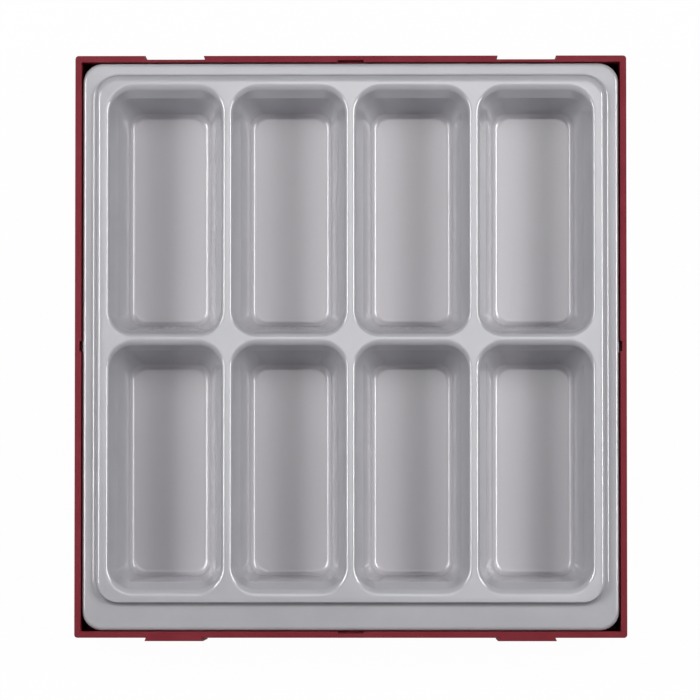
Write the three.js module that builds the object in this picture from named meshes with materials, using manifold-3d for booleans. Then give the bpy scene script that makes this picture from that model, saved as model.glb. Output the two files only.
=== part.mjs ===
import * as THREE from 'three';
import { mergeVertices } from 'three/addons/utils/BufferGeometryUtils.js';
import Module from 'manifold-3d';

// Compartment tray: a moulded outer tray that links to its neighbours by dovetails, and a
// thermoformed insert with a grid of pockets, which drops into the tray and lifts straight out.
// Millimetres, +Z up, origin at the middle of the underside, front at -Y.

// Outer tray: overall size without the tongues, walls and floor
const trayWidth = 251;
const trayDepth = 265;
const trayHeight = 40;
const sideWall = 2.85;
const endWall = 2.9;
const trayFloor = 2.5;
const trayCornerRadius = 1.5;

// Dovetail tongues on the front wall, and the play of the sockets that take them in the back wall
const dovetailSpacing = 160.4;
const tongueRoot = 25.6;
const tongueTip = 26.8;
const tongueReach = 1.5;
const socketSidePlay = 0.4;
const socketEndPlay = 0.2;

// Shallow recesses in the inner top edge, at the middle of each wall
const recessHeight = 6;
const endRecessWidth = 11.8;
const endRecessDepth = 0.9;
const sideRecessWidth = 4.6;
const sideRecessDepth = 0.8;

// Insert: sheet, and how it sits in the tray
const sheet = 1;
const insertSideGap = 0.45;
const insertEndGap = 0.4;
const seatGap = 0.3;
const deckAboveRim = 3;

// Insert outline: a low band round a raised deck, and a skirt turned down at the outer edge. A bend is
// the radius on the hollow side of the sheet
const insertCornerRadius = 9.3;
const insertEdgeBend = 0.8;
const skirtHeight = 6;
const sideBand = 6.05;
const backBand = 5.52;
const frontBand = 12.03;
const deckRise = 4;
const stepDraft = THREE.MathUtils.degToRad(15);
const frontStepDraft = THREE.MathUtils.degToRad(5);
const stepFootBend = 2.8;
const frontStepFootBend = 1.6;
const deckEdgeBend = 0.8;
const stepCornerRadius = 10.7;

// Pocket grid on the deck
const columns = 4;
const rows = 2;
const columnDivider = 1.4;
const rowDivider = 1.35;
const deckSideMargin = 3.58;
const deckBackMargin = 3.11;
const deckFrontMargin = 3.22;

// One pocket, seen in section: rounded rim, sloping shoulder, crease, steep wall, fillet, flat floor
const floorFillet = 2.2;
const rimCornerRadius = 13;
const wallCornerRadius = 6.5;

// What differs between a pocket's walls: those at its sides, at the row divider, where each row's wall
// has its own draft, and at the deck's back and front edges
const sideRimBend = 1;
const sideCreaseIn = 4.95;
const sideCreaseDepth = 13;
const sideDraft = THREE.MathUtils.degToRad(8.8);
const dividerRimBend = 1.2;
const dividerCreaseIn = 4;
const dividerCreaseDepth = 7.5;
const frontRowDividerDraft = THREE.MathUtils.degToRad(9.4);
const backRowDividerDraft = THREE.MathUtils.degToRad(7);
const backRimBend = 2.5;
const backCreaseIn = 5.9;
const backCreaseDepth = 7.5;
const backDraft = THREE.MathUtils.degToRad(7.2);
const frontRimBend = 3;
const frontCreaseIn = 6.5;
const frontCreaseDepth = 7.5;
const frontDraft = THREE.MathUtils.degToRad(5);

// Facets of the round stretches
const plainCornerSteps = 4;
const pocketCornerSteps = 5;
const rimSteps = 3;
const filletSteps = 3;
const edgeSteps = 3;

// Room past a face, so that a cut runs clean through it
const cutPast = 5;

const wasm = await Module();
wasm.setup();

// Booleans: closed geometry in, closed geometry out
function solidFrom(geometry) {
  geometry.deleteAttribute('normal');
  geometry.deleteAttribute('uv');
  const merged = mergeVertices(geometry);
  return new wasm.Manifold(new wasm.Mesh({
    numProp: 3,
    vertProperties: merged.getAttribute('position').array,
    triVerts: new Uint32Array(merged.getIndex().array),
  }));
}

function meshFrom(name, solid, material) {
  const { vertProperties, triVerts } = solid.getMesh();
  const geometry = new THREE.BufferGeometry();
  geometry.setAttribute('position', new THREE.BufferAttribute(vertProperties, 3));
  geometry.setIndex(new THREE.BufferAttribute(triVerts, 1));
  geometry.computeVertexNormals();
  const mesh = new THREE.Mesh(geometry, material);
  mesh.name = name;
  return mesh;
}

function extruded(shape, bottom, top) {
  const geometry = new THREE.ExtrudeGeometry(shape, {
    depth: top - bottom,
    bevelEnabled: false,
    curveSegments: plainCornerSteps,
  });
  return solidFrom(geometry.translate(0, 0, bottom));
}

function box(width, depth, bottom, top) {
  const geometry = new THREE.BoxGeometry(width, depth, top - bottom);
  return solidFrom(geometry.translate(0, 0, (bottom + top) / 2));
}

// Rounded rectangles: an area with a corner radius, and the ring of points that bounds it. Its side, front
// and back stretches lie each at a height, and its corners run from one height to the next
function grown(area, amount) {
  return {
    left: area.left - amount,
    right: area.right + amount,
    front: area.front - amount,
    back: area.back + amount,
    cornerRadius: area.cornerRadius + amount,
  };
}

function level(z) {
  return { side: z, front: z, back: z };
}

function ring(area, heights, cornerSteps) {
  const r = area.cornerRadius;
  const corners = [
    [area.right - r, area.back - r, heights.back],
    [area.left + r, area.back - r, heights.back],
    [area.left + r, area.front + r, heights.front],
    [area.right - r, area.front + r, heights.front],
  ];
  const points = [];
  corners.forEach(([x, y, endHeight], corner) => {
    for (let step = 0; step <= cornerSteps; step += 1) {
      const angle = (corner + step / cornerSteps) * Math.PI / 2;
      const z = THREE.MathUtils.lerp(heights.side, endHeight, Math.sin(angle) ** 2);
      points.push(new THREE.Vector3(x + r * Math.cos(angle), y + r * Math.sin(angle), z));
    }
  });
  return points;
}

// A closed solid through rings that run from the lowest to the highest
function loft(rings) {
  const count = rings[0].length;
  const last = (rings.length - 1) * count;
  const triangles = [];
  for (let layer = 0; layer < last; layer += count) {
    for (let i = 0; i < count; i += 1) {
      const next = (i + 1) % count;
      triangles.push(layer + i, layer + next, layer + count + next);
      triangles.push(layer + i, layer + count + next, layer + count + i);
    }
  }
  for (let i = 1; i < count - 1; i += 1) {
    triangles.push(0, i + 1, i);
    triangles.push(last, last + i, last + i + 1);
  }
  const geometry = new THREE.BufferGeometry().setFromPoints(rings.flat());
  geometry.setIndex(triangles);
  return solidFrom(geometry);
}

// Outer tray
const trayHalfWidth = trayWidth / 2;
const trayHalfDepth = trayDepth / 2;
const tongueX = [-dovetailSpacing / 2, dovetailSpacing / 2];

function trayOutline() {
  const right = trayHalfWidth;
  const back = trayHalfDepth;
  const r = trayCornerRadius;
  const mouth = tongueRoot / 2 + socketSidePlay;
  const seat = tongueTip / 2 + socketSidePlay;
  const seatY = back - tongueReach - socketEndPlay;
  const outline = new THREE.Shape();
  outline.moveTo(-right + r, -back);
  tongueX.forEach((x) => {
    outline.lineTo(x - tongueRoot / 2, -back);
    outline.lineTo(x - tongueTip / 2, -back - tongueReach);
    outline.lineTo(x + tongueTip / 2, -back - tongueReach);
    outline.lineTo(x + tongueRoot / 2, -back);
  });
  outline.absarc(right - r, -back + r, r, -Math.PI / 2, 0);
  outline.absarc(right - r, back - r, r, 0, Math.PI / 2);
  tongueX.toReversed().forEach((x) => {
    outline.lineTo(x + mouth, back);
    outline.lineTo(x + seat, seatY);
    outline.lineTo(x - seat, seatY);
    outline.lineTo(x - mouth, back);
  });
  outline.absarc(-right + r, back - r, r, Math.PI / 2, Math.PI);
  outline.absarc(-right + r, -back + r, r, Math.PI, Math.PI * 1.5);
  return outline;
}

const cavityHalfWidth = trayHalfWidth - sideWall;
const cavityHalfDepth = trayHalfDepth - endWall;

function outerTray() {
  const cutTop = trayHeight + cutPast;
  const recessFloor = trayHeight - recessHeight;
  const endRecessSpan = 2 * (cavityHalfDepth + endRecessDepth);
  const sideRecessSpan = 2 * (cavityHalfWidth + sideRecessDepth);
  return extruded(trayOutline(), 0, trayHeight)
    .subtract(box(2 * cavityHalfWidth, 2 * cavityHalfDepth, trayFloor, cutTop))
    .subtract(box(endRecessWidth, endRecessSpan, recessFloor, cutTop))
    .subtract(box(sideRecessSpan, sideRecessWidth, recessFloor, cutTop));
}

// Insert: areas in plan and heights
const deckTop = trayHeight + deckAboveRim;
const bandTop = deckTop - deckRise;
const floorTop = trayFloor + seatGap + sheet;
const pocketDepth = deckTop - floorTop;
const insertEdgeRadius = insertEdgeBend + sheet;
const deckEdgeRadius = deckEdgeBend + sheet;
const stepRun = deckRise * Math.tan(stepDraft);
const frontStepRun = deckRise * Math.tan(frontStepDraft);

const insertArea = {
  left: -cavityHalfWidth + insertSideGap,
  right: cavityHalfWidth - insertSideGap,
  front: -cavityHalfDepth + insertEndGap,
  back: cavityHalfDepth - insertEndGap,
  cornerRadius: insertCornerRadius,
};
const stepArea = {
  left: insertArea.left + sideBand,
  right: insertArea.right - sideBand,
  front: insertArea.front + frontBand,
  back: insertArea.back - backBand,
  cornerRadius: stepCornerRadius,
};
const deckArea = { ...grown(stepArea, -stepRun), front: stepArea.front + frontStepRun };
const gridLeft = deckArea.left + deckSideMargin;
const gridFront = deckArea.front + deckFrontMargin;
const gridWidth = deckArea.right - deckSideMargin - gridLeft;
const gridDepth = deckArea.back - deckBackMargin - gridFront;
const pocketWidth = (gridWidth - (columns - 1) * columnDivider) / columns;
const pocketLength = (gridDepth - (rows - 1) * rowDivider) / rows;

function pocketArea(column, row) {
  const left = gridLeft + column * (pocketWidth + columnDivider);
  const front = gridFront + row * (pocketLength + rowDivider);
  return { left, right: left + pocketWidth, front, back: front + pocketLength };
}

// Sections of the skirt with the insert's edge, and of the step: how far each point lies outside its area,
// its height, and the lean of the sheet there, from 0 where it lies flat to a quarter turn where it stands
function edgeSection() {
  const section = [{ out: 0, z: bandTop - skirtHeight, lean: Math.PI / 2 }];
  for (let step = 0; step <= edgeSteps; step += 1) {
    const lean = Math.PI / 2 * (1 - step / edgeSteps);
    section.push({
      out: insertEdgeRadius * (Math.sin(lean) - 1),
      z: bandTop + insertEdgeRadius * (Math.cos(lean) - 1),
      lean,
    });
  }
  return section;
}

function stepSection(draft, run, footBend) {
  const stepLean = Math.PI / 2 - draft;
  const footReach = footBend * Math.tan(stepLean / 2);
  const edgeReach = deckEdgeRadius * Math.tan(stepLean / 2);
  const section = [];
  for (let step = 0; step <= edgeSteps; step += 1) {
    const lean = stepLean * step / edgeSteps;
    section.push({
      out: footReach - footBend * Math.sin(lean),
      z: bandTop + footBend * (1 - Math.cos(lean)),
      lean,
    });
  }
  for (let step = 0; step <= edgeSteps; step += 1) {
    const lean = stepLean * (1 - step / edgeSteps);
    section.push({
      out: deckEdgeRadius * Math.sin(lean) - edgeReach - run,
      z: deckTop + deckEdgeRadius * (Math.cos(lean) - 1),
      lean,
    });
  }
  return section;
}

// One ring of the sheet's surface, or of its underside a thickness away. Its front stretch may follow a
// section of its own
function capRing(area, point, frontPoint, thickness) {
  const [rest, front] = [point, frontPoint].map(({ out, z, lean }) => ({
    out: out - thickness * Math.sin(lean),
    z: z - thickness * Math.cos(lean),
  }));
  const outline = { ...grown(area, rest.out), front: area.front - front.out };
  return ring(outline, { side: rest.z, front: front.z, back: rest.z }, plainCornerSteps);
}

// The sheet's skirt, band, step and deck, before the pockets are drawn
function insertCap() {
  const edge = edgeSection();
  const step = stepSection(stepDraft, stepRun, stepFootBend);
  const frontStep = stepSection(frontStepDraft, frontStepRun, frontStepFootBend);
  const surface = (thickness) => [
    ...edge.map((point) => capRing(insertArea, point, point, thickness)),
    ...step.map((point, index) => capRing(stepArea, point, frontStep[index], thickness)),
  ];
  const below = ring(grown(insertArea, -sheet), level(bandTop - skirtHeight - cutPast), plainCornerSteps);
  return loft(surface(0)).subtract(loft([below, ...surface(sheet)]));
}

// Section of one wall of a pocket, from the floor up: how far in from the rim, how deep, and the lean of
// the sheet
function wallSection(rimBend, creaseIn, creaseDepth, draft) {
  const rimRadius = rimBend + sheet;
  const creaseDrop = creaseDepth - rimRadius;
  const shoulder = Math.sqrt(creaseIn ** 2 + creaseDrop ** 2 - rimRadius ** 2);
  const rimLean = Math.atan2(creaseDrop, creaseIn) + Math.atan2(rimRadius, shoulder);
  const wallLean = Math.PI / 2 - draft;
  const filletTop = pocketDepth - floorFillet * (1 - Math.cos(wallLean));
  const filletIn = creaseIn + (filletTop - creaseDepth) * Math.tan(draft);
  const floorIn = filletIn + floorFillet * Math.sin(wallLean);
  const section = [];
  for (let step = 0; step <= filletSteps; step += 1) {
    const lean = wallLean * step / filletSteps;
    section.push({
      in: floorIn - floorFillet * Math.sin(lean),
      depth: pocketDepth - floorFillet * (1 - Math.cos(lean)),
      lean,
    });
  }
  section.push({ in: creaseIn, depth: creaseDepth, lean: (rimLean + wallLean) / 2 });
  for (let step = 0; step <= rimSteps; step += 1) {
    const lean = rimLean * (1 - step / rimSteps);
    section.push({
      in: rimRadius * Math.sin(lean),
      depth: rimRadius * (1 - Math.cos(lean)),
      lean,
    });
  }
  return section;
}

const sideSection = wallSection(sideRimBend, sideCreaseIn, sideCreaseDepth, sideDraft);
const [frontRowDivider, backRowDivider] = [frontRowDividerDraft, backRowDividerDraft].map((draft) => (
  wallSection(dividerRimBend, dividerCreaseIn, dividerCreaseDepth, draft)
));
const backSection = wallSection(backRimBend, backCreaseIn, backCreaseDepth, backDraft);
const frontSection = wallSection(frontRimBend, frontCreaseIn, frontCreaseDepth, frontDraft);

// The ring of a pocket's surface at one point of its sections, or of the sheet's underside a thickness
// away. The corners tighten from the rim to the crease
function pocketRing(area, walls, index, thickness) {
  const at = ({ in: inward, depth, lean }) => ({
    in: inward - thickness * Math.sin(lean),
    z: deckTop - depth - thickness * Math.cos(lean),
  });
  const side = at(sideSection[index]);
  const front = at(walls.front[index]);
  const back = at(walls.back[index]);
  const share = Math.min(1, sideSection[index].in / sideCreaseIn);
  const outline = {
    left: area.left + side.in,
    right: area.right - side.in,
    front: area.front + front.in,
    back: area.back - back.in,
    cornerRadius: THREE.MathUtils.lerp(rimCornerRadius, wallCornerRadius, share)
      + thickness * Math.sin(sideSection[index].lean),
  };
  return ring(outline, { side: side.z, front: front.z, back: back.z }, pocketCornerSteps);
}

function compartmentInsert() {
  let insert = insertCap();
  const hollows = [];
  for (let row = 0; row < rows; row += 1) {
    const walls = {
      front: row === 0 ? frontSection : backRowDivider,
      back: row === rows - 1 ? backSection : frontRowDivider,
    };
    for (let column = 0; column < columns; column += 1) {
      const area = pocketArea(column, row);
      const rim = { ...area, cornerRadius: rimCornerRadius };
      const drawn = sideSection.map((point, index) => pocketRing(area, walls, index, sheet));
      const hollow = sideSection.map((point, index) => pocketRing(area, walls, index, 0));
      drawn.push(ring(rim, level(deckTop - sheet / 2), pocketCornerSteps));
      hollow.push(ring(rim, level(deckTop + cutPast), pocketCornerSteps));
      insert = insert.add(loft(drawn));
      hollows.push(loft(hollow));
    }
  }
  return hollows.reduce((rest, hollow) => rest.subtract(hollow), insert);
}

const trayPlastic = new THREE.MeshStandardMaterial({ color: 0x8a323c, roughness: 0.45, metalness: 0 });
const insertPlastic = new THREE.MeshStandardMaterial({ color: 0xb4b5ba, roughness: 0.3, metalness: 0 });

const compartmentTray = new THREE.Group();
compartmentTray.add(
  meshFrom('outer_tray', outerTray(), trayPlastic),
  meshFrom('compartment_insert', compartmentInsert(), insertPlastic),
);

export default compartmentTray;
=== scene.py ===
import math
import bmesh
import bpy
from mathutils import Matrix, Vector


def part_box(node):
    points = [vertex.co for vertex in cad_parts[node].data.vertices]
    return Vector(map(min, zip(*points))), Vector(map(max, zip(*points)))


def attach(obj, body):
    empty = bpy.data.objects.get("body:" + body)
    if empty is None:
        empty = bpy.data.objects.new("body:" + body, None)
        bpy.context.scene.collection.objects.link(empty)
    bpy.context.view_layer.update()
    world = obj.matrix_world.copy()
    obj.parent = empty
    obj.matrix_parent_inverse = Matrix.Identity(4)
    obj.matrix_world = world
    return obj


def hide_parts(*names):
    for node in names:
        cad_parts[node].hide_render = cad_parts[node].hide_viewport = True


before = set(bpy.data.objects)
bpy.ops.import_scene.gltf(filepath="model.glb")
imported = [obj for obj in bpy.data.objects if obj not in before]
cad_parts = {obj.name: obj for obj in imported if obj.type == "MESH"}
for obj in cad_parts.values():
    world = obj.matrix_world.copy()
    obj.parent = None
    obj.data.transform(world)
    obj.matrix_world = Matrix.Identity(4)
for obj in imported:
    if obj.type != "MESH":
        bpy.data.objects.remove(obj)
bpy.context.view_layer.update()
mm = 0.001
_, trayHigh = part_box("outer_tray")
insertLow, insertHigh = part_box("compartment_insert")
print("frame loaded:", sorted(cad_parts))


# small helpers

maths = "ShaderNodeMath"
vectors = "ShaderNodeVectorMath"
combine = "ShaderNodeCombineXYZ"


def hexColour(code):
    channels = [int(code[i:i + 2], 16) / 255 for i in (1, 3, 5)]
    linear = [c / 12.92 if c <= 0.04045 else ((c + 0.055) / 1.055) ** 2.4 for c in channels]
    return (*linear, 1.0)


def addNode(tree, kind, inputs=None, **settings):
    node = tree.nodes.new(kind)
    for name, value in settings.items():
        setattr(node, name, value)
    for key, value in (inputs or {}).items():
        # a list holds several links into one socket
        for source in value if isinstance(value, list) else [value]:
            if isinstance(source, bpy.types.NodeSocket):
                tree.links.new(source, node.inputs[key])
            else:
                node.inputs[key].default_value = source
    return node


def newPiece(name, mesh, material):
    piece = bpy.data.objects.new(name, mesh)
    bpy.context.scene.collection.objects.link(piece)
    mesh.materials.clear()
    mesh.materials.append(material)
    return piece


def frozenMesh(piece):
    depsgraph = bpy.context.evaluated_depsgraph_get()
    return bpy.data.meshes.new_from_object(piece.evaluated_get(depsgraph))


# materials

noiseLow, noiseHigh = 0.3, 0.7  # nearly all of a noise texture's values lie between these


def blankMaterial(name):
    material = bpy.data.materials.new(name)
    material.use_nodes = True
    material.node_tree.nodes.clear()
    return material, material.node_tree


trayFinish = {
    "colour": "#7f202c",        # deep red pigment
    "paler": "#862834",         # in the pigment's soft clouds
    "mottle": 14 * mm,          # size of those clouds
    "mottleSpan": (0.35, 0.7),  # noise values between which they turn paler
    "grain": 0.6 * mm,          # mould grain, drawn coarser than the real 0.1 mm so that it shows
    "grainDepth": 0.02 * mm,
    "grainStrength": 0.6,
    "roughness": (0.52, 0.62),
    "ior": 1.5,
    "specular": 0.25,
}


def mouldedPolystyrene(look):
    # a satin moulded plastic: soft sheen, fine even grain, pigment right through
    material, tree = blankMaterial("moulded_red_polystyrene")
    place = addNode(tree, "ShaderNodeTexCoord").outputs["Object"]
    clouds = addNode(tree, "ShaderNodeTexNoise", {
        "Vector": place, "Scale": 1 / look["mottle"], "Detail": 3.0, "Roughness": 0.55})
    grain = addNode(tree, "ShaderNodeTexNoise", {
        "Vector": place, "Scale": 1 / look["grain"], "Detail": 2.0, "Roughness": 0.5})
    ramp = addNode(tree, "ShaderNodeMapRange", {
        "Value": clouds.outputs["Fac"],
        "From Min": look["mottleSpan"][0], "From Max": look["mottleSpan"][1]})
    tint = addNode(tree, "ShaderNodeMix", {
        "Factor": ramp.outputs["Result"],
        "A": hexColour(look["colour"]), "B": hexColour(look["paler"])}, data_type="RGBA")
    dull = addNode(tree, "ShaderNodeMapRange", {
        "Value": grain.outputs["Fac"], "From Min": noiseLow, "From Max": noiseHigh,
        "To Min": look["roughness"][0], "To Max": look["roughness"][1]})
    bump = addNode(tree, "ShaderNodeBump", {
        "Height": grain.outputs["Fac"], "Strength": look["grainStrength"], "Distance": look["grainDepth"]})
    shader = addNode(tree, "ShaderNodeBsdfPrincipled", {
        "Base Color": tint.outputs["Result"], "Roughness": dull.outputs["Result"],
        "Normal": bump.outputs["Normal"], "IOR": look["ior"], "Specular IOR Level": look["specular"]})
    addNode(tree, "ShaderNodeOutputMaterial", {"Surface": shader.outputs["BSDF"]})
    return material


insertFinish = {
    "colour": "#bcbcc1",        # cool grey sheet
    "paler": "#c2c2c7",         # in the faint clouds that uneven stretching leaves
    "mottle": 22 * mm,          # size of those clouds
    "drawn": "#cfcbd0",         # a little warmer on the pockets' floors, the thin drawn sheet's own tint, and paler there as painted light that stands in for the sheen their extra roughness takes away
    "drawnHeight": (4.2 * mm, 7 * mm),  # that colour is full at the first height and gone at the second
    "drawnDulling": 0.09,       # what drawing the sheet over the mould's floor adds to its roughness
    "wave": 9 * mm,             # slow ripple of a sheet that cooled on its mould
    "waveDepth": 0.006 * mm,
    "peel": 0.7 * mm,           # orange peel, drawn a little coarser than the real one
    "peelDepth": 0.0004 * mm,
    "roughness": (0.13, 0.17),
    "ior": 1.57,
    "specular": 1.0,
}


def thermoformedSheet(look):
    # a semi-gloss formed sheet: clear highlights on its bends, slightly rippled flats
    material, tree = blankMaterial("thermoformed_grey_polystyrene")
    place = addNode(tree, "ShaderNodeTexCoord").outputs["Object"]
    clouds = addNode(tree, "ShaderNodeTexNoise", {
        "Vector": place, "Scale": 1 / look["mottle"], "Detail": 3.0, "Roughness": 0.5})
    ramp = addNode(tree, "ShaderNodeMapRange", {
        "Value": clouds.outputs["Fac"], "From Min": noiseLow, "From Max": noiseHigh})
    tint = addNode(tree, "ShaderNodeMix", {
        "Factor": ramp.outputs["Result"],
        "A": hexColour(look["colour"]), "B": hexColour(look["paler"])}, data_type="RGBA")
    height = addNode(tree, "ShaderNodeSeparateXYZ", {0: place}).outputs["Z"]
    # 1 on the pockets' floors and 0 above them: it brings in their warmer tint with painted paleness
    # standing in for lost sheen, and their extra roughness
    drawn = addNode(tree, "ShaderNodeMapRange", {
        "Value": height, "From Min": look["drawnHeight"][1], "From Max": look["drawnHeight"][0]})
    # the floors' own warmer tint together with painted paleness, which stands in for the sheen the rougher
    # floors no longer reflect
    warmedAndPaintedPale = addNode(tree, "ShaderNodeMix", {
        "Factor": drawn.outputs["Result"],
        "A": tint.outputs["Result"], "B": hexColour(look["drawn"])}, data_type="RGBA")
    peel = addNode(tree, "ShaderNodeTexNoise", {
        "Vector": place, "Scale": 1 / look["peel"], "Detail": 2.0, "Roughness": 0.5})
    wave = addNode(tree, "ShaderNodeTexNoise", {
        "Vector": place, "Scale": 1 / look["wave"], "Detail": 1.0, "Roughness": 0.4})
    dull = addNode(tree, "ShaderNodeMapRange", {
        "Value": peel.outputs["Fac"], "From Min": noiseLow, "From Max": noiseHigh,
        "To Min": look["roughness"][0], "To Max": look["roughness"][1]})
    rough = addNode(tree, maths, {
        0: drawn.outputs["Result"], 1: look["drawnDulling"], 2: dull.outputs["Result"]},
        operation="MULTIPLY_ADD")
    rippled = addNode(tree, "ShaderNodeBump", {
        "Height": wave.outputs["Fac"], "Strength": 1.0, "Distance": look["waveDepth"]})
    peeled = addNode(tree, "ShaderNodeBump", {
        "Height": peel.outputs["Fac"], "Strength": 1.0, "Distance": look["peelDepth"],
        "Normal": rippled.outputs["Normal"]})
    shader = addNode(tree, "ShaderNodeBsdfPrincipled", {
        "Base Color": warmedAndPaintedPale.outputs["Result"], "Roughness": rough.outputs[0],
        "Normal": peeled.outputs["Normal"], "IOR": look["ior"], "Specular IOR Level": look["specular"]})
    addNode(tree, "ShaderNodeOutputMaterial", {"Surface": shader.outputs["BSDF"]})
    return material


trayPlastic = mouldedPolystyrene(trayFinish)
sheetPlastic = thermoformedSheet(insertFinish)
print("materials made")


# outer tray

traySizes = {  # millimetres, degrees and counts
    "sideWall": 2.85,
    "endWall": 2.9,
    "floor": 2.5,
    "cornerRadius": 1.5,
    "dovetailSpacing": 160.4,
    "tongueRoot": 25.6,
    "tongueTip": 26.8,
    "tongueReach": 1.5,
    "socketSidePlay": 0.4,
    "socketEndPlay": 0.2,
    "recessHeight": 6.0,
    "endRecess": (11.8, 0.9),   # width and depth
    "sideRecess": (4.6, 0.8),
    "edgeRadius": 0.22,
    "edgeAngle": 40,            # bends sharper than this are rounded
    "edgeSegments": 3,
    "cornerSteps": 8,
}


def dovetail(x, y, root, tip, reach):
    return [(x - root / 2, y), (x - tip / 2, y + reach), (x + tip / 2, y + reach), (x + root / 2, y)]


def cornerArc(x, y, radius, quarter, steps):
    turns = [(quarter + step / steps) * math.pi / 2 for step in range(steps + 1)]
    return [(x + radius * math.cos(turn), y + radius * math.sin(turn)) for turn in turns]


def trayOutline(size):
    # half sizes come from the back right corner, because the tongues stand out of the front
    right = trayHigh.x / mm
    back = trayHigh.y / mm
    r = size["cornerRadius"]
    steps = size["cornerSteps"]
    centres = (-size["dovetailSpacing"] / 2, size["dovetailSpacing"] / 2)
    mouth = size["tongueRoot"] + 2 * size["socketSidePlay"]
    seat = size["tongueTip"] + 2 * size["socketSidePlay"]
    sink = size["tongueReach"] + size["socketEndPlay"]
    points = cornerArc(right - r, back - r, r, 0, steps)
    for x in reversed(centres):
        points += reversed(dovetail(x, back, mouth, seat, -sink))
    points += cornerArc(-right + r, back - r, r, 1, steps)
    points += cornerArc(-right + r, -back + r, r, 2, steps)
    for x in centres:
        points += dovetail(x, -back, size["tongueRoot"], size["tongueTip"], -size["tongueReach"])
    points += cornerArc(right - r, -back + r, r, 3, steps)
    return points


def prism(name, outline, bottom, top):
    bm = bmesh.new()
    lower = [bm.verts.new((x * mm, y * mm, bottom * mm)) for x, y in outline]
    upper = [bm.verts.new((x * mm, y * mm, top * mm)) for x, y in outline]
    bm.faces.new(reversed(lower))
    bm.faces.new(upper)
    for i in range(len(outline)):
        j = (i + 1) % len(outline)
        bm.faces.new((lower[i], lower[j], upper[j], upper[i]))
    mesh = bpy.data.meshes.new(name)
    bm.to_mesh(mesh)
    bm.free()
    return mesh


def rectangle(halfX, halfY):
    return [(halfX, -halfY), (halfX, halfY), (-halfX, halfY), (-halfX, -halfY)]


def makeTray(size):
    halfX = trayHigh.x / mm - size["sideWall"]
    halfY = trayHigh.y / mm - size["endWall"]
    top = trayHigh.z / mm
    past = 5  # how far the hollows reach out of the top
    recessFloor = top - size["recessHeight"]
    endWide, endDeep = size["endRecess"]
    sideWide, sideDeep = size["sideRecess"]
    hollows = [
        prism("cavity", rectangle(halfX, halfY), size["floor"], top + past),
        prism("endRecess", rectangle(endWide / 2, halfY + endDeep), recessFloor, top + past),
        prism("sideRecess", rectangle(halfX + sideDeep, sideWide / 2), recessFloor, top + past),
    ]
    tray = newPiece("moulded_tray", prism("moulded_tray", trayOutline(size), 0, top), trayPlastic)
    cutters = []
    for hollow in hollows:
        cutter = newPiece(hollow.name, hollow, trayPlastic)
        cut = tray.modifiers.new(hollow.name, "BOOLEAN")
        cut.operation = "DIFFERENCE"
        cut.solver = "EXACT"
        cut.object = cutter
        cutters.append(cutter)
    tray.data = frozenMesh(tray)
    tray.modifiers.clear()
    for cutter in cutters:
        bpy.data.objects.remove(cutter)
    tray.data.shade_smooth()
    edges = tray.modifiers.new("soft edges", "BEVEL")
    edges.width = size["edgeRadius"] * mm
    edges.segments = size["edgeSegments"]
    edges.limit_method = "ANGLE"
    edges.angle_limit = math.radians(size["edgeAngle"])
    tray.modifiers.new("flat faces stay flat", "WEIGHTED_NORMAL").keep_sharp = True
    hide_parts("outer_tray")
    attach(tray, "tray")
    return tray


tray = makeTray(traySizes)
print("outer tray made:", len(tray.data.vertices), "points before its edges are rounded")


# compartment insert

insertSizes = {  # millimetres, degrees and counts
    "sheet": 1.0,
    "cornerRadius": 9.3,
    "edgeRadius": 1.8,
    "skirt": 6.0,
    "band": {"side": 6.05, "back": 5.52, "front": 12.03},
    "deckRise": 4.0,
    "droop": 0.15,              # how far the band's outer edge sinks
    "step": {  # draft, and radii of its foot and of the deck's edge
        "side": (15.0, 1.8, 1.8),
        "front": (11.0, 1.5, 0.5),
        "back": (8.0, 1.0, 3.4),
    },
    "stepCornerRadius": 10.7,
    "columns": 4,
    "rows": 2,
    "columnDivider": 1.4,
    "rowDivider": 1.35,
    "ridgeEase": 0.75,          # how far the front row's rims, rounder there, reach onto the row divider
    "margin": {"side": 3.58, "back": 3.11, "front": 2.8},
    "creaseRadius": 0.8,
    "floorFillet": 2.6,
    "rimCornerRadius": 13.0,
    "wallCornerRadius": 6.5,
    "walls": {  # rim radius, how far in and how deep the crease lies, draft of the wall below it
        "side": (2.0, 4.95, 13.0, 8.8),
        "front row divider": (3.0, 4.75, 7.5, 9.4),
        "back row divider": (2.2, 4.0, 7.5, 7.0),
        "back": (3.5, 5.9, 7.5, 7.2),
        "front": (4.0, 6.5, 7.5, 5.0),
    },
    "cornerSteps": 14,
    "bendSteps": 8,
}
runOut = 9                      # millimetres of level sheet past a path's bends, which the rings leave out
weldDistance = 0.01 * mm
deckTolerance = 0.1 * mm        # open edges no further than this below the deck belong to it


def roundedPath(corners, steps):
    # corners are (across, height, radius), and each inner one is rounded by its radius
    path = [Vector(corners[0][:2])]
    for before, here, after in zip(corners, corners[1:], corners[2:]):
        point = Vector(here[:2])
        radius = here[2]
        arriving = (point - Vector(before[:2])).normalized()
        leaving = (Vector(after[:2]) - point).normalized()
        turn = arriving.angle_signed(leaving)
        reach = radius * math.tan(abs(turn) / 2)
        start = point - arriving * reach
        centre = start + Vector((arriving.y, -arriving.x)) * math.copysign(radius, turn)
        for step in range(steps + 1):
            path.append(centre + Matrix.Rotation(-turn * step / steps, 2) @ (start - centre))
    path.append(Vector(corners[-1][:2]))
    return path


def area(left, front, right, back):
    return {"low": Vector((left, front)), "high": Vector((right, back))}


def inside(place, side, front, back):
    low, high = place["low"], place["high"]
    return area(low.x + side, low.y + front, high.x - side, high.y - back)


def shrunk(place, inward):
    return inside(place, inward, inward, inward)


def stepRun(size, side):
    draft = size["step"][side][0]
    return size["deckRise"] * math.tan(math.radians(draft))


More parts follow.
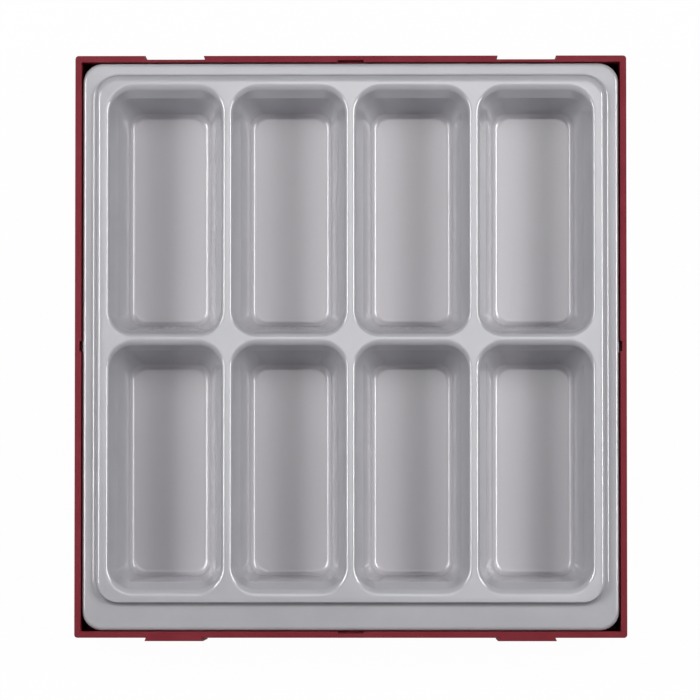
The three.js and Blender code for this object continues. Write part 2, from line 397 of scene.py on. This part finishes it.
def makeAreas(size):
    outer = area(insertLow.x / mm, insertLow.y / mm, insertHigh.x / mm, insertHigh.y / mm)
    band, margin = size["band"], size["margin"]
    foot = inside(outer, band["side"], band["front"], band["back"])
    # the back margin counts from where a step as steep as the sides' would end
    deck = inside(foot, stepRun(size, "side"), stepRun(size, "front"), stepRun(size, "side"))
    grid = inside(deck, margin["side"], margin["front"], margin["back"])
    return outer, foot, grid


def borderRings(size, outer, foot, deckTop):
    bandTop = deckTop - size["deckRise"]
    edgeTop = bandTop - size["droop"]
    edge = roundedPath([
        (0, bandTop - size["skirt"], 0), (0, edgeTop, size["edgeRadius"]), (runOut, edgeTop, 0),
    ], size["bendSteps"])[:-1]
    steps = {}
    for side, (_, footRadius, edgeRadius) in size["step"].items():
        run = stepRun(size, side)
        steps[side] = roundedPath([
            (-runOut, bandTop, 0), (0, bandTop, footRadius),
            (run, deckTop, edgeRadius), (run + runOut, deckTop, 0),
        ], size["bendSteps"])[1:-1]
    rings = []
    for inward, height in edge:
        rings.append((shrunk(outer, inward), size["cornerRadius"] - inward, (height,) * 3))
    for side, front, back in zip(steps["side"], steps["front"], steps["back"]):
        outline = inside(foot, side.x, front.x, back.x)
        rings.append((outline, size["stepCornerRadius"] - side.x, (side.y, front.y, back.y)))
    return rings


def wallPath(size, wall, deckTop, floorTop):
    # the shoulder is the line from the crease that touches the rim's arc, which starts at the deck's edge
    rim, crease, creaseDepth, draft = size["walls"][wall]
    drop = creaseDepth - rim
    shoulder = math.sqrt(crease ** 2 + drop ** 2 - rim ** 2)
    lip = rim * math.tan((math.atan2(drop, crease) + math.atan2(rim, shoulder)) / 2)
    creaseHeight = deckTop - creaseDepth
    foot = crease + (creaseHeight - floorTop) * math.tan(math.radians(draft))
    return roundedPath([
        (-runOut, deckTop, 0), (lip, deckTop, rim), (crease, creaseHeight, size["creaseRadius"]),
        (foot, floorTop, size["floorFillet"]), (foot + runOut, floorTop, 0),
    ], size["bendSteps"])[1:-1]


def pocketRings(size, pocket, front, back, deckTop, floorTop):
    paths = [wallPath(size, wall, deckTop, floorTop) for wall in ("side", front, back)]
    creaseIn = size["walls"]["side"][1]
    rings = []
    for side, near, far in zip(*paths):
        share = min(1, side.x / creaseIn)
        corner = size["rimCornerRadius"] * (1 - share) + size["wallCornerRadius"] * share
        outline = inside(pocket, side.x, near.x, far.x)
        rings.append((outline, corner, (side.y, near.y, far.y)))
    # the floor closes along its middle line
    half = (outline["high"].x - outline["low"].x) / 2
    rings.append((shrunk(outline, half), 0, (floorTop,) * 3))
    return rings


def sectionMesh(name, parts):
    # one point for each ring, which holds the ring's corners, corner radius, heights and part
    rings = [(part, *ring) for part, group in enumerate(parts) for ring in group]
    mesh = bpy.data.meshes.new(name)
    mesh.from_pydata([(0, 0, 0)] * len(rings), [], [])
    kinds = {
        "low": "FLOAT_VECTOR", "high": "FLOAT_VECTOR", "cornerRadius": "FLOAT", "sideHeight": "FLOAT",
        "part": "INT",
    }
    for attribute, kind in kinds.items():
        mesh.attributes.new(attribute, kind, "POINT")
    stored = {attribute: mesh.attributes[attribute].data for attribute in kinds}
    for i, (part, outline, corner, (side, front, back)) in enumerate(rings):
        stored["low"][i].vector = Vector((*outline["low"], front)) * mm
        stored["high"][i].vector = Vector((*outline["high"], back)) * mm
        stored["cornerRadius"][i].value = corner * mm
        stored["sideHeight"][i].value = side * mm
        stored["part"][i].value = part
    return mesh


def ringLoft():
    # draws one surface through rounded rectangles, from the first ring in to the last
    tree = bpy.data.node_groups.new("ring loft", "GeometryNodeTree")
    tree.interface.new_socket("Section", in_out="INPUT", socket_type="NodeSocketGeometry")
    tree.interface.new_socket("Corner Steps", in_out="INPUT", socket_type="NodeSocketInt")
    tree.interface.new_socket("Surface", in_out="OUTPUT", socket_type="NodeSocketGeometry")
    given = addNode(tree, "NodeGroupInput").outputs
    section, steps = given["Section"], given["Corner Steps"]

    # a grid with a row for each ring and a column for each place round it, the last on top of the first
    count = addNode(tree, "GeometryNodeAttributeDomainSize", {"Geometry": section})
    rings = count.outputs["Point Count"]
    perCorner = addNode(tree, maths, {0: steps, 1: 1.0}, operation="ADD").outputs[0]
    around = addNode(tree, maths, {0: perCorner, 1: 4.0, 2: 1.0}, operation="MULTIPLY_ADD").outputs[0]
    grid = addNode(tree, "GeometryNodeMeshGrid", {"Vertices X": around, "Vertices Y": rings})
    index = addNode(tree, "GeometryNodeInputIndex").outputs[0]
    along = addNode(tree, maths, {0: index, 1: rings}, operation="DIVIDE").outputs[0]
    column = addNode(tree, maths, {0: along}, operation="FLOOR").outputs[0]
    ring = addNode(tree, maths, {0: index, 1: rings}, operation="MODULO").outputs[0]
    share = addNode(tree, maths, {0: column, 1: perCorner}, operation="DIVIDE").outputs[0]
    corner = addNode(tree, maths, {0: share}, operation="FLOOR").outputs[0]
    step = addNode(tree, maths, {0: column, 1: perCorner}, operation="MODULO").outputs[0]
    part = addNode(tree, maths, {0: step, 1: steps}, operation="DIVIDE").outputs[0]
    turned = addNode(tree, maths, {0: corner, 1: part}, operation="ADD").outputs[0]
    angle = addNode(tree, maths, {0: turned, 1: math.pi / 2}, operation="MULTIPLY").outputs[0]
    middle = addNode(tree, maths, {
        0: corner, 1: math.pi / 2, 2: math.pi / 4}, operation="MULTIPLY_ADD").outputs[0]

    def eastNorth(turn):
        east = addNode(tree, maths, {0: turn}, operation="COSINE").outputs[0]
        north = addNode(tree, maths, {0: turn}, operation="SINE").outputs[0]
        return east, north

    def sampled(name, kind):
        stored = addNode(tree, "GeometryNodeInputNamedAttribute", {"Name": name}, data_type=kind)
        return addNode(tree, "GeometryNodeSampleIndex", {
            "Geometry": section, "Value": stored.outputs["Attribute"], "Index": ring},
            data_type=kind).outputs["Value"]

    # each corner turns about its own centre, which the direction of the corner's middle picks
    low, high = sampled("low", "FLOAT_VECTOR"), sampled("high", "FLOAT_VECTOR")
    radius = sampled("cornerRadius", "FLOAT")
    inset = addNode(tree, combine, {"X": radius, "Y": radius}).outputs[0]
    lowCentre = addNode(tree, vectors, {0: low, 1: inset}, operation="ADD").outputs[0]
    highCentre = addNode(tree, vectors, {0: high, 1: inset}, operation="SUBTRACT").outputs[0]
    east, north = eastNorth(middle)
    toward = addNode(tree, combine, {"X": east, "Y": north, "Z": north}).outputs[0]
    decisive = (9.0, 9.0, 9.0)  # takes the cosine of 45 degrees past 1, where the mix is clamped
    side = addNode(tree, vectors, {0: toward, 1: decisive}, operation="MULTIPLY").outputs[0]
    centre = addNode(tree, "ShaderNodeMix", {"Factor": side, "A": lowCentre, "B": highCentre},
                     data_type="VECTOR", factor_mode="NON_UNIFORM", clamp_factor=True).outputs["Result"]

    # round a corner the height turns from the side's to the end's
    east, north = eastNorth(angle)
    spoke = addNode(tree, combine, {"X": east, "Y": north}).outputs[0]
    reach = addNode(tree, vectors, {0: spoke, "Scale": radius}, operation="SCALE").outputs[0]
    flat = addNode(tree, vectors, {0: centre, 1: reach}, operation="ADD").outputs[0]
    parts = addNode(tree, "ShaderNodeSeparateXYZ", {0: flat}).outputs
    endShare = addNode(tree, maths, {0: north, 1: north}, operation="MULTIPLY").outputs[0]
    height = addNode(tree, "ShaderNodeMix", {
        "Factor": endShare, "A": sampled("sideHeight", "FLOAT"), "B": parts["Z"]},
        data_type="FLOAT").outputs["Result"]
    place = addNode(tree, combine, {"X": parts["X"], "Y": parts["Y"], "Z": height}).outputs[0]
    moved = addNode(tree, "GeometryNodeSetPosition", {
        "Geometry": grid.outputs["Mesh"], "Position": place})
    closed = addNode(tree, "GeometryNodeMergeByDistance", {
        "Geometry": moved.outputs[0], "Distance": weldDistance})
    addNode(tree, "NodeGroupOutput", {"Surface": closed.outputs[0]})
    return tree


def insertTree(rows):
    tree = bpy.data.node_groups.new("formed insert", "GeometryNodeTree")
    sockets = [("Section", "Geometry"), ("Columns", "Int"), ("Column Pitch", "Float"),
               ("Deck Height", "Float"), ("Corner Steps", "Int"), ("Plastic", "Material")]
    for name, kind in sockets:
        tree.interface.new_socket(name, in_out="INPUT", socket_type="NodeSocket" + kind)
    tree.interface.new_socket("Insert", in_out="OUTPUT", socket_type="NodeSocketGeometry")
    given = addNode(tree, "NodeGroupInput").outputs
    part = addNode(tree, "GeometryNodeInputNamedAttribute", {
        "Name": "part"}, data_type="INT").outputs["Attribute"]
    loft = ringLoft()

    def surface(number):
        chosen = addNode(tree, "FunctionNodeCompare", {
            "A": part, "B": number}, data_type="INT", operation="EQUAL")
        rings = addNode(tree, "GeometryNodeSeparateGeometry", {
            "Geometry": given["Section"], "Selection": chosen.outputs[0]})
        return addNode(tree, "GeometryNodeGroup", {
            "Section": rings.outputs["Selection"], "Corner Steps": given["Corner Steps"]},
            node_tree=loft).outputs[0]

    # one pocket of each row, then a copy of them in every column
    column = addNode(tree, "GeometryNodeJoinGeometry", {0: [surface(1 + row) for row in range(rows)]})
    gaps = addNode(tree, maths, {0: given["Columns"], 1: 1.0}, operation="SUBTRACT").outputs[0]
    spread = addNode(tree, maths, {0: gaps, 1: given["Column Pitch"]}, operation="MULTIPLY").outputs[0]
    start = addNode(tree, maths, {0: spread, 1: -0.5}, operation="MULTIPLY").outputs[0]
    first = addNode(tree, combine, {"X": start}).outputs[0]
    pitch = addNode(tree, combine, {"X": given["Column Pitch"]}).outputs[0]
    points = addNode(tree, "GeometryNodeMeshLine", {
        "Count": given["Columns"], "Start Location": first, "Offset": pitch})
    copies = addNode(tree, "GeometryNodeInstanceOnPoints", {
        "Points": points.outputs[0], "Instance": column.outputs[0]})
    pockets = addNode(tree, "GeometryNodeRealizeInstances", {"Geometry": copies.outputs[0]})
    drawn = addNode(tree, "GeometryNodeJoinGeometry", {0: [pockets.outputs[0], surface(0)]})

    # the flat deck fills what is left between the border's inner edge and the pocket rims
    faces = addNode(tree, "GeometryNodeInputMeshEdgeNeighbors").outputs["Face Count"]
    openEdge = addNode(tree, "FunctionNodeCompare", {
        "A": faces, "B": 1}, data_type="INT", operation="EQUAL").outputs[0]
    position = addNode(tree, "GeometryNodeInputPosition").outputs[0]
    height = addNode(tree, "ShaderNodeSeparateXYZ", {0: position}).outputs["Z"]
    nearDeck = addNode(tree, maths, {
        0: given["Deck Height"], 1: deckTolerance}, operation="SUBTRACT").outputs[0]
    atDeck = addNode(tree, "FunctionNodeCompare", {
        "A": height, "B": nearDeck}, data_type="FLOAT", operation="GREATER_THAN").outputs[0]
    rim = addNode(tree, "FunctionNodeBooleanMath", {0: openEdge, 1: atDeck}, operation="AND").outputs[0]
    outline = addNode(tree, "GeometryNodeMeshToCurve", {"Mesh": drawn.outputs[0], "Selection": rim})
    filled = addNode(tree, "GeometryNodeFillCurve", {"Curve": outline.outputs[0]})
    lift = addNode(tree, combine, {"Z": given["Deck Height"]}).outputs[0]
    deck = addNode(tree, "GeometryNodeTransform", {"Geometry": filled.outputs[0], "Translation": lift})
    whole = addNode(tree, "GeometryNodeJoinGeometry", {0: [drawn.outputs[0], deck.outputs[0]]})
    welded = addNode(tree, "GeometryNodeMergeByDistance", {
        "Geometry": whole.outputs[0], "Distance": weldDistance})
    smooth = addNode(tree, "GeometryNodeSetShadeSmooth", {"Geometry": welded.outputs[0]})
    coated = addNode(tree, "GeometryNodeSetMaterial", {
        "Geometry": smooth.outputs[0], "Material": given["Plastic"]})
    addNode(tree, "NodeGroupOutput", {"Insert": coated.outputs[0]})
    return tree


def makeInsert(size):
    deckTop = insertHigh.z / mm
    floorTop = insertLow.z / mm + size["sheet"]
    outer, foot, grid = makeAreas(size)
    span = grid["high"] - grid["low"]
    columns, rows = size["columns"], size["rows"]
    width = (span.x - (columns - 1) * size["columnDivider"]) / columns
    length = (span.y - (rows - 1) * size["rowDivider"]) / rows
    parts = [borderRings(size, outer, foot, deckTop)]
    for row in range(rows):
        near = grid["low"].y + row * (length + size["rowDivider"])
        ease = size["ridgeEase"] if row < rows - 1 else 0
        pocket = area(-width / 2, near, width / 2, near + length + ease)
        front = "back row divider" if row else "front"
        back = "front row divider" if row < rows - 1 else "back"
        parts.append(pocketRings(size, pocket, front, back, deckTop, floorTop))
    section = sectionMesh("formed_insert", parts)
    insert = newPiece("formed_insert", section, sheetPlastic)
    forming = insert.modifiers.new("forming", "NODES")
    forming.node_group = insertTree(rows)
    values = {
        "Columns": columns,
        "Column Pitch": (width + size["columnDivider"]) * mm,
        "Deck Height": deckTop * mm,
        "Corner Steps": size["cornerSteps"],
        "Plastic": sheetPlastic,
    }
    for socket in forming.node_group.interface.items_tree:
        if socket.name in values:
            forming[socket.identifier] = values[socket.name]
    insert.data = frozenMesh(insert)
    insert.modifiers.clear()
    wall = insert.modifiers.new("sheet thickness", "SOLIDIFY")
    wall.thickness = size["sheet"] * mm
    wall.offset = -1
    wall.use_even_offset = True
    insert.modifiers.new("flat faces stay flat", "WEIGHTED_NORMAL").keep_sharp = True
    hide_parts("compartment_insert")
    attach(insert, "insert")
    return insert


insert = makeInsert(insertSizes)
print("insert made:", len(insert.data.polygons), "faces,", len(insert.data.vertices), "points")


# camera, as the photograph: from high above, a little right and in front of the middle

camera = {  # millimetres, apart from the shift
    "eye": (21.1, -90.0),       # the point of the rim plane straight under the lens
    "height": 1650,             # above the rim
    "middle": (-0.27, -1.81),   # the point of the rim plane in the middle of the picture
    "shift": (-0.02, 0.135),    # shares of the picture's width, which keep the tray's sides nearly parallel
    "pictureWidth": 318.0,      # of the rim plane across the picture
    "sensor": 36,
}


def makeCamera(setup):
    rim = trayHigh.z / mm
    eye = Vector((*setup["eye"], rim + setup["height"]))
    aim = Vector((*setup["middle"], rim)) - Vector((*setup["shift"], 0)) * setup["pictureWidth"]
    back = (eye - aim).normalized()
    right = Vector((0, 1, 0)).cross(back).normalized()
    up = back.cross(right)
    data = bpy.data.cameras.new("camera")
    data.sensor_width = setup["sensor"]
    data.lens = setup["sensor"] * (eye - aim).length / setup["pictureWidth"]
    data.shift_x, data.shift_y = setup["shift"]
    holder = bpy.data.objects.new("camera", data)
    holder.matrix_world = Matrix.Translation(eye * mm) @ Matrix((right, up, back)).transposed().to_4x4()
    bpy.context.scene.collection.objects.link(holder)
    bpy.context.scene.camera = holder


makeCamera(camera)


# light and floor

studio = {
    "lamps": {  # place and size in metres, watts
        "left strip": {"place": (-0.62, 0.12, 0.69), "size": (0.5, 0.2), "power": 3.1},
        "left box": {"place": (-0.6, 0.12, 0.72), "size": (0.5, 0.55), "power": 1.25},
        "right strip": {"place": (0.634, 0.12, 0.68), "size": (0.5, 0.2), "power": 2.65},
        "right box": {"place": (0.764, 0.14, 1.05), "size": (0.6, 0.28), "power": 3.4},
        "overhead": {"place": (0.065, 0.16, 1.75), "size": (0.55, 0.55), "power": 1.74},
        "back box": {"place": (0, 0.65, 1.7), "size": (0.8, 0.5), "power": 1.3},
        "near strip": {"place": (0, 0.165, 0.6), "size": (0.5, 0.14), "power": 0.09},
    },
    "aim": (0, 0, 0.03),
    "ambient": 0.0,             # the lamps and the floor alone light the object
    "floorSize": 60,            # metres, so wide that low views don't show its edge
    "floorGrey": 0.9,           # how much of the lamps' light the paper gives back
    "floorWhite": 0.98,         # how much of the floor's whiteness doesn't depend on the lamps
}


def makeLamps(setup):
    for name, lamp in setup["lamps"].items():
        data = bpy.data.lights.new(name, "AREA")
        data.shape = "RECTANGLE"
        data.size, data.size_y = lamp["size"]
        data.energy = lamp["power"]
        holder = bpy.data.objects.new(name, data)
        bpy.context.scene.collection.objects.link(holder)
        back = Vector(lamp["place"]) - Vector(setup["aim"])
        holder.rotation_euler = back.to_track_quat("Z", "Y").to_euler()
        holder.location = lamp["place"]


def makeWorld(setup):
    world = bpy.data.worlds.new("studio")
    bpy.context.scene.world = world
    world.use_nodes = True
    tree = world.node_tree
    tree.nodes.clear()
    ambient = addNode(tree, "ShaderNodeBackground", {"Strength": setup["ambient"]})
    addNode(tree, "ShaderNodeOutputWorld", {"Surface": ambient.outputs[0]})


def seenDirectly(tree):
    # 1 for what the lens sees, straight or in a mirror or glass, and 0 for light on its way to a surface
    rays = addNode(tree, "ShaderNodeLightPath").outputs
    mirrored = addNode(tree, maths, {
        0: rays["Is Glossy Ray"], 1: rays["Is Transmission Ray"]}, operation="MAXIMUM").outputs[0]
    return addNode(tree, maths, {0: rays["Is Camera Ray"], 1: mirrored}, operation="MAXIMUM").outputs[0]


def whitePaper(setup):
    # matt paper, lit evenly wherever the lens sees it
    paper, tree = blankMaterial("white_paper")
    grey = setup["floorGrey"]
    matt = addNode(tree, "ShaderNodeBsdfDiffuse", {"Color": (grey, grey, grey, 1)})
    glow = addNode(tree, "ShaderNodeEmission", {"Strength": 1.0})
    share = addNode(tree, maths, {
        0: seenDirectly(tree), 1: setup["floorWhite"]}, operation="MULTIPLY").outputs[0]
    mixed = addNode(tree, "ShaderNodeMixShader", {0: share, 1: matt.outputs[0], 2: glow.outputs[0]})
    addNode(tree, "ShaderNodeOutputMaterial", {"Surface": mixed.outputs[0]})
    return paper


def makeFloor(setup):
    half = setup["floorSize"] / 2
    mesh = bpy.data.meshes.new("floor")
    mesh.from_pydata([(x, y, 0) for x, y in rectangle(half, half)], [], [(0, 1, 2, 3)])
    floor = newPiece("floor", mesh, whitePaper(setup))


bpy.context.scene.view_settings.view_transform = "Standard"
makeLamps(studio)
makeWorld(studio)
makeFloor(studio)
print("camera, lamps and floor made")
